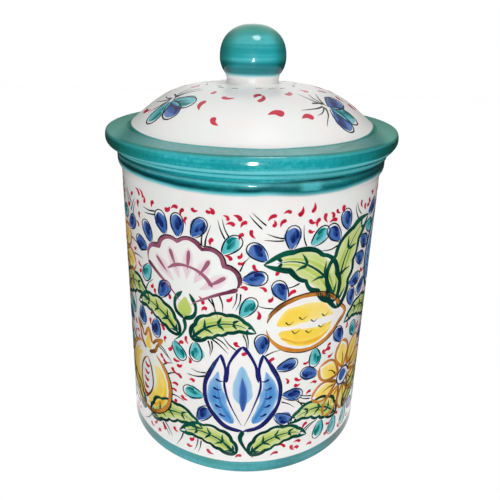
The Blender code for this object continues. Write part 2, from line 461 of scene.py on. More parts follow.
def soften(points, closed):
    """Draws a smooth line through a section, leaving its corners."""
    count = len(points)
    spans = range(count if closed else count - 1)
    chords = [points[(i + 1) % count] - points[i] for i in spans]
    lengths = [float(np.hypot(*chord)) for chord in chords]
    ways = [chord / length for chord, length in zip(chords, lengths)]

    def bend_at(i):
        if not closed and i in (0, count - 1):
            return pi
        a, b = ways[i - 1], ways[i % len(ways)]
        return abs(atan2(a[0] * b[1] - a[1] * b[0], float(a @ b)))

    def tangent(i, way):
        if bend_at(i) > CORNER:
            return way
        a, b = ways[i - 1], ways[i % len(ways)]
        mixed = a * lengths[i - 1] ** 2 + b * lengths[i % len(ways)] ** 2
        return mixed / np.hypot(*mixed)

    line = []
    for i in spans:
        start, end = points[i], points[(i + 1) % count]
        out, into = tangent(i, ways[i]), tangent((i + 1) % count, ways[i])
        turn = abs(atan2(out[0] * into[1] - out[1] * into[0], float(out @ into)))
        steps = max(1, ceil(turn / BEND_STEP), ceil(lengths[i] / LONG_STEP))
        for step in range(steps):
            t = step / steps
            line.append(
                (2 * t ** 3 - 3 * t ** 2 + 1) * start + (t ** 3 - 2 * t ** 2 + t) * out * lengths[i]
                + (3 * t ** 2 - 2 * t ** 3) * end + (t ** 3 - t ** 2) * into * lengths[i])
    if not closed:
        line.append(points[-1])
    line = np.array(line)
    line[:, 0] = line[:, 0].clip(0.0, points[:, 0].max())
    line[:, 1] = line[:, 1].clip(points[:, 1].min(), points[:, 1].max())
    return line


def luted(points):
    """The knob's section with its foot drawn down over the neck's rounded edge, as wet slip does."""
    foot = points[:, 1].min()
    corner = np.flatnonzero(points[:, 1] < foot + SAME_POINT)
    corner = corner[np.argmax(points[corner, 0])]
    drawn = points.copy()
    drawn[corner] = (points[corner, 0] + SLIP_REACH, foot - SLIP_DEPTH)
    return drawn


sections = {node: cad_section(node) for node in ("jar_body", "lid", "lid_knob")}
sections["lid_knob"] = (luted(sections["lid_knob"][0]), sections["lid_knob"][1])
smooth_sections = {node: soften(*found) for node, found in sections.items()}
for node, line in smooth_sections.items():
    print(node, "section:", len(sections[node][0]), "points, softened to", len(line))

# %% [markdown]
# No thrown pot is quite round. The wall leans in by a hair here and there, and faint rings are left
# by the potter's rib. The same small function moves the clay and, later, the paint on it.

# %% The potter's hand, and the wheel
LEAN = 0.16 * MM
RIB_MARK = 0.018 * MM
RIB_PITCH = 6.5 * MM
FULL_HAND = 20 * MM


def hand(angle, height):
    """How far the surface lies inside the true circle."""
    lean = 2 + np.sin(2 * angle + 0.7 + height / 0.045) + np.sin(3 * angle - height / 0.07)
    ribs = 1 + np.sin(2 * pi * height / RIB_PITCH + angle)
    return LEAN * lean / 4 + RIB_MARK * ribs / 2


def at_hand(radius, angle, height):
    """The radius that the clay has there; the hand tells less near the axis."""
    return radius - hand(angle, height) * np.minimum(1.0, radius / FULL_HAND)


# %% [markdown]
# In the photograph the lid sits level on the jar, but its brim is lower on the left, and the dome and
# the knob lean that way with it: it was bent a little when it was lifted off the wheel. So what is
# above the seat is tipped by less than a degree.

# %% A lid that dried a little askew
SEAT = float(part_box("jar_body")[1][2])
TIP = 0.0135
TIP_SINK = 0.22 * MM
TIP_FOOT, TIP_FULL = SEAT + 1.2 * MM, SEAT + 6.5 * MM


def askew(points):
    """Points of the lid, level at the seat and tipped to the left above it."""
    points = np.array(points, float)
    share = ((points[:, 2] - TIP_FOOT) / (TIP_FULL - TIP_FOOT)).clip(0, 1)
    share = share * share * (3 - 2 * share)
    tipped = points[:, 2] + share * (points[:, 0] * TIP - TIP_SINK)
    points[:, 0] -= (points[:, 2] - TIP_FULL).clip(0) * TIP
    points[:, 2] = tipped
    return points


def turned(name, node):
    """Spins a softened section round the axis into a piece that stands for its node."""
    line = smooth_sections[node]
    closed = sections[node][1]
    angles = np.arange(TURN_STEPS) * 2 * pi / TURN_STEPS
    points, rings = [], []
    for radius, height in line:
        if radius < SAME_POINT:
            rings.append([len(points)] * TURN_STEPS)
            points.append((0.0, 0.0, height))
            continue
        rings.append(list(range(len(points), len(points) + TURN_STEPS)))
        reach = at_hand(radius, angles, height)
        points += [(r * sin(a), -r * cos(a), height) for r, a in zip(reach, angles)]
    faces = []
    for i in range(len(line) if closed else len(line) - 1):
        low, high = rings[i], rings[(i + 1) % len(line)]
        for j in range(TURN_STEPS):
            k = (j + 1) % TURN_STEPS
            faces.append(tuple(dict.fromkeys((low[j], low[k], high[k], high[j]))))
    if node != "jar_body":
        points = askew(points).tolist()
    mesh = mesh_of(name, points, faces)
    if volume(mesh) < 0:
        mesh.flip_normals()
    mesh.shade_smooth()
    mesh.set_sharp_from_angle(angle=SHARP_CLAY)
    return stand(name, mesh)


def volume(mesh):
    """The signed volume inside a closed mesh, which tells which way its faces look."""
    mesh.calc_loop_triangles()
    corners = np.array([[mesh.vertices[i].co for i in tri.vertices] for tri in mesh.loop_triangles])
    return float(np.einsum("ij,ij->i", corners[:, 0], np.cross(corners[:, 1], corners[:, 2])).sum() / 6)


jar = turned("glazed_jar", "jar_body")
lid = turned("glazed_lid", "lid")
knob = turned("glazed_knob", "lid_knob")
for piece, node, body, slot in (
        (jar, "jar_body", "jar", "white_glaze"),
        (lid, "lid", "lid", "lid_white_glaze"),
        (knob, "lid_knob", "lid", "teal_glaze")):
    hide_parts(node)
    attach(piece, body)
    print(piece.name, "holds", round(volume(piece.data) / MM ** 3 / 1000, 1), "ml of clay")

# %% [markdown]
# ## Glazes
# The ground is a tin glaze: opaque white, glassy, and never quite even. The bands are copper and
# cobalt brushed on while the pot turned on a banding wheel, so their streaks run round it. Where the
# brush rested, and where the glaze ran to the lower edge of the rim, the colour pooled nearly black.
# The teal also carries painted shade: deeper towards the left and right sides, on the right of the
# rim, the lid's lip and the foot band, on the knob's crown and low flanks, partly where lid and jar
# meet, and along the brim's outer corner. Pale lines on the lid's crease, lip and shoulder and on the
# top of the jar's rim are painted light, and the ends of the brim's top carry a painted sheen.
# The foot ring is wiped clean, or it would fuse to the kiln shelf.

# %% White ground
WHITE = srgb(243, 242, 240)
WHITE_COOL = srgb(238, 243, 239)
WHITE_WARM = srgb(245, 237, 236)
BISCUIT = srgb(214, 178, 148)
GLAZE_ROUGH = 0.10
DOME_ROUGH = 0.30
FLOW_DEPTH = 0.05 * MM


def ring(value, start, end, blur):
    """1 between two places and 0 beside them."""
    return value.above(start - blur, start) * value.below(end, end + blur)


def tin_white(glaze):
    """The white ground, faintly pink here and faintly green there."""
    cool = glaze.noise(38.0).above(0.42, 0.70)
    warm = glaze.noise(55.0, shift=(3.0, 1.0, 2.0)).above(0.46, 0.72)
    return glaze.mix(warm * 0.7, glaze.mix(cool * 0.7, WHITE, WHITE_COOL), WHITE_WARM)


def glassy(glaze, colour, bare=None, skin=GLAZE_ROUGH, ripple=0.6):
    """Finishes a glaze: a glassy skin with a faint orange peel, dull where the clay is bare."""
    peel = glaze.noise(420.0, 1.0)
    flow = glaze.noise(70.0, 1.0, (1.0, 5.0, 0.0))
    rough = skin + 0.05 * flow
    height = peel * 0.25 + flow
    if bare is not None:
        grit = glaze.noise(1900.0, 3.0, (7.0, 0.0, 3.0))
        rough = rough + bare * 0.6
        height = height + bare * grit * 2.0
    glaze.feed(glaze.shader, "Base Color", colour)
    glaze.feed(glaze.shader, "Roughness", rough)
    values = {"Strength": ripple, "Distance": FLOW_DEPTH, "Height": height}
    bump = glaze.node("ShaderNodeBump", {}, values)
    glaze.feed(glaze.shader, "Normal", bump.outputs[0])
    return glaze.material


# %% Brushed teal
TEAL_THIN = srgb(112, 214, 222)
TEAL_LIGHT = srgb(84, 198, 206)
TEAL = srgb(24, 158, 166)
TEAL_DEEP = srgb(2, 100, 108)
TEAL_GREEN = srgb(30, 132, 108)
TEAL_DARK = srgb(4, 76, 62)
TEAL_CROWN = srgb(0, 134, 106)
TEAL_SHEEN = srgb(132, 208, 188)
TEAL_POOL = srgb(0, 46, 56)


def brushed_teal(glaze, pooled_and_shaded=0.0, thinned_and_lit=0.0, streaks=460.0, mottle=1.0, flank_shade_share=1.0):
    """Copper teal in streaks round the pot, deeper in pools of glaze and where shade is painted on,
    pale where it ran off an edge and where light is painted on.

    The left and right sides get painted shade in a deeper, greener teal; the last argument says how
    much of that painted shade shows.
    """
    streak = glaze.waves((14.0, 14.0, streaks))
    lap = glaze.waves((20.0, 20.0, 46.0), (4.0, 2.0, 0.0))
    grain = glaze.noise(620.0, shift=(5.0, 5.0, 5.0))
    x, y = glaze.split(glaze.place())[:2]
    # Painted shade: the teal grows deeper and greener towards the left and right sides, where the round
    # piece turns away.
    flank_shade = (x * x / (x * x + y * y + SAME_POINT)).above(0.20, 0.90)
    thick = streak * (1.0 - 0.58 * mottle) + lap * 0.62 * mottle + grain * 0.22 * mottle
    thick = thick + flank_shade * 0.20 + 0.13 * (1.0 - mottle)
    colour = glaze.mix(thick.above(0.44, 0.66), TEAL_LIGHT, TEAL)
    green = glaze.waves((30.0, 30.0, 90.0), (8.0, 1.0, 6.0), 1.0)
    colour = glaze.mix((green + flank_shade * 0.3).above(0.48, 0.86) * 0.8, colour, TEAL_GREEN)
    colour = glaze.mix(thick.above(0.60, 0.92) * 0.9, colour, TEAL_DEEP)
    # Deep teal where the glaze lies thick, plus painted shade on the left and right sides.
    dark = (flank_shade * 0.8 + thick * 0.4).above(0.30, 1.05) * 0.85
    colour = glaze.mix(dark * flank_shade_share, colour, TEAL_DARK)
    colour = glaze.mix(thinned_and_lit, colour, TEAL_THIN)
    return glaze.mix(pooled_and_shaded, colour, TEAL_POOL)


# %% [markdown]
# A mask needs places. Heights are measured up from the jar's foot, from the rim for the lid, and from
# its own foot for the knob, and sides to the right of the axis, all in millimetres. A pair of places
# is where a mask begins and ends, or where it fades in or out.

# %% The jar's glaze
BAND_BLUR = 0.25
RIM_BAND_FOOT = 140.3
RIM_BAND_ENDS = (30.0, 58.0)
RIM_POOL = (0.7, 2.2)
RIM_POOL_RUNS_OUT = (2.4, 5.0)
RIM_POOL_GAP = (21.5, 25.5)
RIM_RIGHT_SHADE = (3.0, 14.0)
RIM_FAR_RIGHT_SHADE = (44.0, 60.0)
RIM_TOP = SEAT / MM
MOUTH_EDGE = (143.9, 145.2)
MOUTH_INSIDE = (58.6, 59.6)
JAR_OUTSIDE = 58.5
FOOT_BAND_TOP = 6.7
FOOT_RIGHT_SHADE = (6.0, 24.0)
FOOT_OUTSIDE = 59.5
FOOT_RING = 52.0
FOOT_WIPED = 0.55
GRIT = srgb(190, 150, 118)


def jar_glaze():
    """White inside and out, teal round the rim and the foot, bare clay on the foot ring."""
    glaze = Glaze("jar_glaze")
    height, radius = glaze.round_place()
    outside = radius.above(JAR_OUTSIDE, JAR_OUTSIDE + 1.0)
    wave = glaze.waves((30.0, 30.0, 0.0)) - 0.5
    x, y = glaze.split(glaze.place())[:2]
    side = x / MM
    ends = (side * side).above(*(end ** 2 for end in RIM_BAND_ENDS))
    edge = height - RIM_BAND_FOOT - wave * 3.2 - ends
    rim = edge.above(-0.9, 0.8) * outside
    patch = glaze.waves((26.0, 26.0, 40.0), (2.0, 6.0, 0.0))
    drip = glaze.waves((90.0, 90.0, 130.0), (1.0, 6.0, 4.0))
    ragged = edge + (drip - 0.5) * 3.5
    pool = edge.above(*RIM_POOL) * ragged.below(*RIM_POOL_RUNS_OUT)
    pool = pool * (patch * 0.7 + drip * 0.4).above(0.32, 0.60)
    # A lighter gap in the dark line, on the front right of the rim.
    pool_gap = ring(side, *RIM_POOL_GAP, 4.0) * (0 - y).above(0.0, 10 * MM) * edge.above(1.6, 2.6)
    # Painted shade: towards the right the dark line itself is weaker, while the rest of the rim band is
    # painted deeper, and more so at its far right end.
    right = side.above(*RIM_RIGHT_SHADE)
    pool = pool * (1 - right * 0.35)
    pool = pool + (1 - pool) * (right * 0.34 + side.above(*RIM_FAR_RIGHT_SHADE) * 0.20)
    pool = pool * (1 - pool_gap)
    # Paler on the bead's top: the glaze thins there, and light is painted on against the shade under
    # the lid's lip.
    crest_thin_and_lit = height.above(RIM_TOP - 1.7, RIM_TOP - 0.7) * (1 - right * 0.80) * 0.55
    fringe = edge.below(0.5, 2.0) * 0.75 + pool_gap * edge.below(5.0, 7.0) * 0.35 + crest_thin_and_lit
    foot_wave = glaze.waves((40.0, 40.0, 0.0), (9.0, 0.0, 0.0), 1.0) - 0.5
    foot = (height - foot_wave * 0.9).below(FOOT_BAND_TOP - BAND_BLUR, FOOT_BAND_TOP + BAND_BLUR)
    foot = foot * radius.above(FOOT_OUTSIDE, FOOT_OUTSIDE + 1.0)
    colour = glaze.mix(rim, tin_white(glaze), brushed_teal(glaze, pool * 0.9, fringe))
    # Painted shade: the foot band is deeper, and less pale, towards the right.
    foot_right_shade = side.above(*FOOT_RIGHT_SHADE)
    teal = brushed_teal(glaze, 0.20 + foot_right_shade * 0.26, 0.20 - foot_right_shade * 0.15)
    colour = glaze.mix(foot, colour, teal)
    thin = height.above(*MOUTH_EDGE) * radius.below(*MOUTH_INSIDE)
    colour = glaze.mix(thin * 0.35, colour, BISCUIT)
    bare = height.below(FOOT_WIPED - 0.2, FOOT_WIPED) * radius.above(FOOT_RING, FOOT_RING + 0.6)
    clay = glaze.mix(glaze.noise(900.0).above(0.45, 0.7), BISCUIT, GRIT)
    return glassy(glaze, glaze.mix(bare, colour, clay), bare)


# %% The lid's and the knob's glaze
LID_BAND_RADIUS = 56.3
LID_SEAT_RADIUS = 62.6
BAND_DRIFT = 1.9
CREASE_LOW_LIGHT = (2.0, 2.9)
CREASE_HIGH_LIGHT = (5.2, 6.1)
BRIM_SHOULDER_HIGHLIGHT = (10.1, 10.6)
BRIM_TOP = (10.4, 11.3)
BRIM_CORNER_SHADE = (66.9, 67.5)
BRIM_SHEEN_ENDS = (51.0, 60.0)
LIP_RIGHT_SHADE = (2.0, 16.0)
LIP_FAR_RIGHT_SHADE = (44.0, 58.0)
SKIRT_WIPED = -8.7
KNOB_FLANK_SHADE = (1.8, 5.6)
KNOB_BELLY = (5.0, 8.0)
KNOB_FOOT = float(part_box("lid_knob")[0][2]) / MM
KNOB_TALL = float(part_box("lid_knob")[1][2]) / MM - KNOB_FOOT


def lid_glaze():
    """White dome and hollow, teal brim, bare clay on the edge that the lid was fired on."""
    glaze = Glaze("lid_glaze")
    height, radius = glaze.round_place()
    x, y = glaze.split(glaze.place())[:2]
    side = x / MM
    height = height - RIM_TOP
    level = height - side * TIP + TIP_SINK / MM
    wave = glaze.waves((34.0, 34.0, 0.0)) - 0.5
    front = (0 - y).above(0.0, 60 * MM)
    band = radius - wave * 1.1 - front * BAND_DRIFT
    band = band.above(LID_BAND_RADIUS - BAND_BLUR, LID_BAND_RADIUS + BAND_BLUR)
    under = height.below(0.4, 0.5) * radius.below(LID_SEAT_RADIUS, LID_SEAT_RADIUS + 0.2)
    band = band * (1 - under)
    slip = glaze.waves((40.0, 40.0, 40.0), (3.0, 3.0, 0.0))
    # Painted light: pale teal lines over the lid's crease and along its lip, and a painted highlight on
    # the brim's shoulder.
    pale = ring(level + slip, *CREASE_HIGH_LIGHT, 0.6) * 0.8 + ring(height, *CREASE_LOW_LIGHT, 0.5) * 0.65
    pale = pale + ring(level, *BRIM_SHOULDER_HIGHLIGHT, 0.4) * 0.2
    # Deep teal at the lid's lower edge, partly pooled glaze and partly painted shade where it meets the
    # jar, and a painted shadow line along the brim's outer corner.
    dark = height.below(0.6, 1.3) * slip.above(0.40, 0.58) * 0.8
    dark = dark + ring(radius, *BRIM_CORNER_SHADE, 0.3) * level.above(10.5, 11.0) * 0.5
    # Painted shade: the lid's lip is deeper towards the right, most at its far right end.
    lip_right_shade = height.below(1.0, 1.8) * (side.above(*LIP_FAR_RIGHT_SHADE) * 0.30 + 0.22)
    lip_right_shade = lip_right_shade + height.below(2.6, 3.4) * 0.22
    dark = dark + lip_right_shade * side.above(*LIP_RIGHT_SHADE)
    top_face = level.above(*BRIM_TOP)
    # The painted shade of the left and right sides stays mostly off the brim's top face.
    teal = brushed_teal(glaze, dark, pale, flank_shade_share=1 - top_face * 0.85)
    teal = glaze.mix(top_face * 0.35, teal, TEAL_CROWN)
    # A painted sheen: the brim's top turns pale grey-green towards its left and right ends.
    ends = (side * side).above(*(end ** 2 for end in BRIM_SHEEN_ENDS))
    teal = glaze.mix(ends * top_face * 0.75, teal, TEAL_SHEEN)
    colour = glaze.mix(band, tin_white(glaze), teal)
    bare = height.below(SKIRT_WIPED - 0.2, SKIRT_WIPED)
    skin = DOME_ROUGH - band * (DOME_ROUGH - GLAZE_ROUGH)
    return glassy(glaze, glaze.mix(bare, colour, BISCUIT), bare, skin)


def knob_glaze():
    """Teal in broad bands, with painted shade on the crown and low on its flanks, thin over the slip.
    """
    glaze = Glaze("knob_glaze")
    height = glaze.round_place()[0] - KNOB_FOOT
    wave = glaze.waves((60.0, 60.0, 0.0)) - 0.5
    # Painted shade low on the ball's flanks, under its belly, and a little paler teal above it.
    low = ring(height, *KNOB_FLANK_SHADE, 2.0) * 0.34
    # Painted shade: the crown is a deeper, greener teal.
    crown = height.above(KNOB_TALL - 7.0, KNOB_TALL - 1.0) * 0.75
    fringe = height.below(0.5, 1.8) * 0.8
    colour = brushed_teal(glaze, low, fringe, streaks=250.0, mottle=0.25, flank_shade_share=0.4)
    colour = glaze.mix(height.above(*KNOB_BELLY) * 0.14, colour, TEAL_LIGHT)
    colour = glaze.mix(crown, colour, TEAL_CROWN)
    colour = glaze.mix((height - wave * 1.2).above(-0.7, 0.9), tin_white(glaze), colour)
    return glassy(glaze, colour, ripple=0.2)


for piece, material in ((jar, jar_glaze()), (lid, lid_glaze()), (knob, knob_glaze())):
    piece.data.materials.append(material)
print("Glazes:", [piece.data.materials[0].name for piece in (jar, lid, knob)])

# %% [markdown]
# ## A canvas that wraps round the clay
# The painter turned the pot on the wheel and painted what faced the brush. For the script the wall is
# unrolled: x runs round the girth and y up the wall, in millimetres. The dome is laid flat round its
# axis. A canvas turns such a flat place back into a place on the glaze, a hair above it, because a
# painted stroke is a thin slab of pigment that swells as it melts. It also remembers what is painted.

# %% Walking along a path
def run_of(path):
    """How far along a path each of its points lies."""
    return np.concatenate([[0.0], np.cumsum(np.hypot(*np.diff(path, axis=0).T))])


def left_of(path):
    """The way to the left at each point of a path."""
    way = np.gradient(path, axis=0)
    way /= np.hypot(*way.T)[:, None]
    return np.stack([-way[:, 1], way[:, 0]], 1)


def reading(at, run, path):
    """Both columns of a path, read off at places along it."""
    return np.stack([np.interp(at, run, path[:, i]) for i in (0, 1)], 1)


# %% Canvas
LIFT = 0.030 * MM
LAYER = 0.020 * MM
SINK = 0.060 * MM
PATCH = 14.0


def crossing(line, closed, axis, value):
    """The outermost place where a section crosses a radius (axis 0) or a height (axis 1)."""
    ends = np.roll(line, -1, 0) if closed else line[1:]
    starts = line if closed else line[:-1]
    low = np.minimum(starts[:, axis], ends[:, axis])
    high = np.maximum(starts[:, axis], ends[:, axis])
    hit = (low <= value) & (high > value)
    share = (value - starts[hit, axis]) / (ends[hit, axis] - starts[hit, axis])
    other = starts[hit, 1 - axis] + share * (ends[hit, 1 - axis] - starts[hit, 1 - axis])
    return float(other.max())


class Canvas:
    """Part of a turned surface, laid flat for the brush."""

    def __init__(self, node, axis, first, last, body):
        line, closed = smooth_sections[node], sections[node][1]
        steps = np.linspace(first * MM, last * MM, ceil(last - first) + 1)
        other = np.array([crossing(line, closed, axis, value) for value in steps])
        self.wraps = axis == 1
        self.line = np.stack((other, steps) if self.wraps else (steps, other), 1)
        self.run = (run_of(self.line) + first * MM) / MM
        self.out = left_of(self.line) * (-1.0 if self.wraps else 1.0)
        self.body = body
        self.girth = 2 * pi * float(np.median(self.line[:, 0])) / MM
        self.columns = ceil(self.girth / PATCH)
        self.marks = {}

    def place(self, flat, lift):
        """Points on the glaze for flat places in millimetres, lifted in metres."""
        x, y = flat[:, 0], flat[:, 1]
        run = y if self.wraps else np.hypot(x, y)
        angle = x / self.girth * 2 * pi if self.wraps else np.arctan2(x, -y)
        radius, height = reading(run, self.run, self.line).T
        out = reading(run, self.run, self.out)
        reach = at_hand(radius, angle, height) + lift * out[:, 0]
        points = np.stack([reach * np.sin(angle), -reach * np.cos(angle), height + lift * out[:, 1]], 1)
        return points if self.wraps else askew(points)

    def patch(self, x, y):
        """The square patch of canvas that a flat place lies in; the girth closes on itself."""
        wide = self.girth / self.columns if self.wraps else PATCH
        return floor(x / wide) % self.columns, floor(y / PATCH)

    def mark(self, stations):
        """Remembers where a stroke went: places and half widths."""
        for x, y, half in stations:
            self.marks.setdefault(self.patch(x, y), []).append((x, y, half))

    def room(self, x, y, marks=None):
        """How far a flat place lies from the nearest paint, and which way leads away from it."""
        marks = self.marks if marks is None else marks
        column, row = self.patch(x, y)
        near = [mark for i in (-1, 0, 1) for j in (-1, 0, 1)
                for mark in marks.get(((column + i) % self.columns, row + j), ())]
        if not near:
            return PATCH, 0.0
        near = np.array(near)
        gap = np.array([x, y]) - near[:, :2]
        if self.wraps:
            gap[:, 0] -= self.girth * np.round(gap[:, 0] / self.girth)
        reach = np.hypot(*gap.T) - near[:, 2]
        nearest = int(np.argmin(reach))
        return float(reach[nearest]), atan2(gap[nearest, 1], gap[nearest, 0])


wall = Canvas("jar_body", 1, 1.0, 141.0, "jar")
dome = Canvas("lid", 0, 14.9, 58.5, "lid")
print("Wall canvas:", round(wall.girth), "mm round; dome canvas out to", round(dome.run[-1]), "mm")

# %% [markdown]
# ## One brush stroke
# A stroke is a spine drawn through a few points, and a width that follows the brush's pressure: a
# liner keeps its width, a comma starts fat and trails off, a petal swells towards its tip. Across and
# along the stroke the mesh remembers how much pigment lies there. A wet brush leaves its colour
# thinner at the edge, and runs dry towards the end.

# %% Pressure and path
STROKE_STEP = 0.9
SPINE_STEP = 0.4
FEWEST_STEPS = 14
DRAWN_OUT = 12
CELL = 1.3
THINNEST = 0.07
END_CROWD = 0.75


def blunt(share, start, end):
    """Full width but for a rounded start and end."""
    return np.minimum(share / start, 1.0) ** 0.5 * np.minimum((1 - share) / end, 1.0) ** 0.5


PRESSURE = {
    "liner": lambda share: blunt(share, 0.06, 0.16) * (0.88 + 0.12 * np.sin(9 * share)),
    "wash": lambda share: blunt(share, 0.16, 0.20),
    "comma": lambda share: np.sin(pi * share ** 0.5) ** 0.8,
    "tail": lambda share: np.minimum(share / 0.05, 1.0) ** 0.5 * (1 - share) ** 0.6,
    "leaf": lambda share: np.sin(pi * share ** 0.8) ** 0.75,
    "petal": lambda share: np.sin(pi * share ** 1.45) ** 0.62,
}


def through(points, step=STROKE_STEP):
    """A smooth line through a few points, or along many, with its steps closer at the ends."""
    points = np.asarray(points, float)
    if 2 < len(points) < DRAWN_OUT:
        padded = np.concatenate([2 * points[:1] - points[1:2], points, 2 * points[-1:] - points[-2:-1]])
        t = np.linspace(0, 1, 16, endpoint=False)[:, None]
        spans = []
        for a, b, c, d in zip(padded, padded[1:], padded[2:], padded[3:]):
            spans.append(0.5 * (2 * b + (c - a) * t + (2 * a - 5 * b + 4 * c - d) * t ** 2
                                + (3 * b - a - 3 * c + d) * t ** 3))
        points = np.concatenate(spans + [points[-1:]])
    run = run_of(points)
    share = np.linspace(0, 1, max(FEWEST_STEPS, ceil(run[-1] / step) + 1))
    crowded = run[-1] * (share - END_CROWD * np.sin(2 * pi * share) / (2 * pi))
    return reading(crowded, run, points)


# %% The brush
WASH, HEART, VEIN, OUTLINE, ACCENT = range(5)


class Pot:
    """All strokes of one colour on one canvas, on their way to one mesh."""

    def __init__(self):
        self.points, self.faces, self.load, self.grain = [], [], [], []
        self.count = 0

    def add(self, points, faces, load, grain):
        self.points.append(points)
        self.faces += [tuple(self.count + i for i in face) for face in faces]
        self.load.append(load)
        self.grain.append(grain)
        self.count += len(points)


def slab_faces(rows, columns):
    """Faces of a closed slab: a grid on top, one strip below, and walls between them."""
    top = np.arange(rows * (columns + 1)).reshape(rows, columns + 1)
    left = top.size + 2 * np.arange(rows)
    right = left + 1
    faces = []
    for i in range(rows - 1):
        faces += [(top[i, j], top[i + 1, j], top[i + 1, j + 1], top[i, j + 1]) for j in range(columns)]
        faces.append((left[i], right[i], right[i + 1], left[i + 1]))
        faces.append((top[i, 0], left[i], left[i + 1], top[i + 1, 0]))
        faces.append((top[i + 1, columns], right[i + 1], right[i], top[i, columns]))
    faces.append((right[0], left[0], *top[0]))
    faces.append((left[-1], right[-1], *top[-1, ::-1]))
    return faces


class Brush:
    """Paints in its own flat frame, in millimetres, which can be moved, turned, sized and mirrored."""

    def __init__(self, canvas, pots, chance, frame=None, size=1.0):
        self.canvas, self.pots, self.chance = canvas, pots, chance
        self.frame = np.eye(3) if frame is None else frame
        self.size = size

    def at(self, x, y, turn=0.0, size=1.0, flip=False):
        """The same brush in a new frame: its middle at x, y, turned by degrees."""
        c, s = cos(radians(turn)) * size, sin(radians(turn)) * size
        side = -1.0 if flip else 1.0
        step = np.array([[c, -s * side, x], [s, c * side, y], [0, 0, 1]])
        return Brush(self.canvas, self.pots, self.chance, self.frame @ step, self.size * size)

    def keep_free(self, circles):
        """Keeps later strokes out of circles: x, y and radius."""
        circles = np.asarray(circles, float)
        middles, radii = self.put(circles[:, :2]), circles[:, 2] * self.size
        self.canvas.mark(np.column_stack([middles, radii]).tolist())

    def put(self, points):
        """Where the frame's points lie on the canvas."""
        points = np.asarray(points, float)
        return points @ self.frame[:2, :2].T + self.frame[:2, 2]

    def stroke(self, colour, points, width, press="liner", layer=0, load=1.0, soft=0.0, dry=0.25,
               wander=0.12):
        """One pull of the brush: width in millimetres, load and its softness as shares."""
        path = through(self.put(points))
        run, side = run_of(path), left_of(path)
        share = run / run[-1]
        phase = self.chance.uniform(0, 2 * pi, 4)
        sway = np.sin(run / 5.3 + phase[0]) + 0.6 * np.sin(run / 2.3 + phase[1])
        path = path + side * (wander * sway * np.sin(pi * share))[:, None]
        half = width * self.size / 2 * PRESSURE[press](share.clip(0, 1))
        half *= 1 + 0.09 * np.sin(run / 3.1 + phase[2]) + 0.05 * np.sin(run / 1.3 + phase[3])
        half = half.clip(THINNEST, None)
        columns = max(3, ceil(2 * half.max() / CELL))
        across = np.linspace(-1, 1, columns + 1)
        flat = path[:, None] + side[:, None] * half[:, None, None] * across[None, :, None]
        top = self.canvas.place(flat.reshape(-1, 2), LIFT + LAYER * layer)
        below = self.canvas.place(flat[:, [0, -1]].reshape(-1, 2), -SINK)
        pigment = load * (1 - dry * share[:, None]) * (1 - soft * np.abs(across[None]) ** 2.4)
        pigment = pigment * (1 + 0.10 * np.sin(run / 4.1 + phase[1]))[:, None]
        seed = self.chance.uniform(0, 40)
        grain = (run[:, None] * 0.12 + seed, across[None] * half[:, None], seed)
        grain = np.stack(np.broadcast_arrays(*grain), 2)
        pot = self.pots.setdefault(colour, Pot())
        pot.add(np.concatenate([top, below]), slab_faces(len(path), columns),
                np.concatenate([pigment.reshape(-1), pigment[:, [0, -1]].reshape(-1)]),
                np.concatenate([grain.reshape(-1, 3), grain[:, [0, -1]].reshape(-1, 3)]))
        self.canvas.mark(np.column_stack([path, half])[::2].tolist())

    def outline(self, colour, points, width, load=1.0):
        self.stroke(colour, points, width, "liner", OUTLINE, load)

    def hair(self, points, width=0.72):
        """A thin black line that trails off."""
        self.stroke("soot", points, width, "tail", VEIN)


class Spine:
    """A curve to build on: its own points, and points beside it."""

    def __init__(self, points):
        self.path = through(points, SPINE_STEP)
        self.run, self.side = run_of(self.path), left_of(self.path)

    def at(self, share, beside=0.0):
        """Points at shares of the length, set off to the left by millimetres."""
        at = np.atleast_1d(share) * self.run[-1]
        beside = np.broadcast_to(beside, at.shape)[:, None]
        return reading(at, self.run, self.path) + reading(at, self.run, self.side) * beside


print("Brush ready, with pressures:", sorted(PRESSURE))

# %% [markdown]
# ## Motifs
# The design is a general one of painted tin-glaze ware: bold flowers and feather leaves with a heavy
# outline, a wash that stops short of it, and a few darker strokes inside. Washes go down first, then
# their darker hearts, then veins, then outlines, so each has its own layer.

# %% Feather leaf and lemon
MANY = np.linspace(0.0, 1.0, 90)


def shaded(brush, colour, points, width, load=1.0, side=1):
    """A broad coloured outline with a hair of black drawn along one edge of it."""
    brush.outline(colour, points, width, load)
    edge = Spine(points).at(np.linspace(0.03, 0.90, 40), side * width * 0.45)
    brush.stroke("soot", edge, 0.50, "liner", ACCENT, 1.0)


def oval(turn, wide, tall, up=0.0):
    """Points on an oval, for angles in radians."""
    return np.column_stack([wide * np.cos(turn), up + tall * np.sin(turn)])


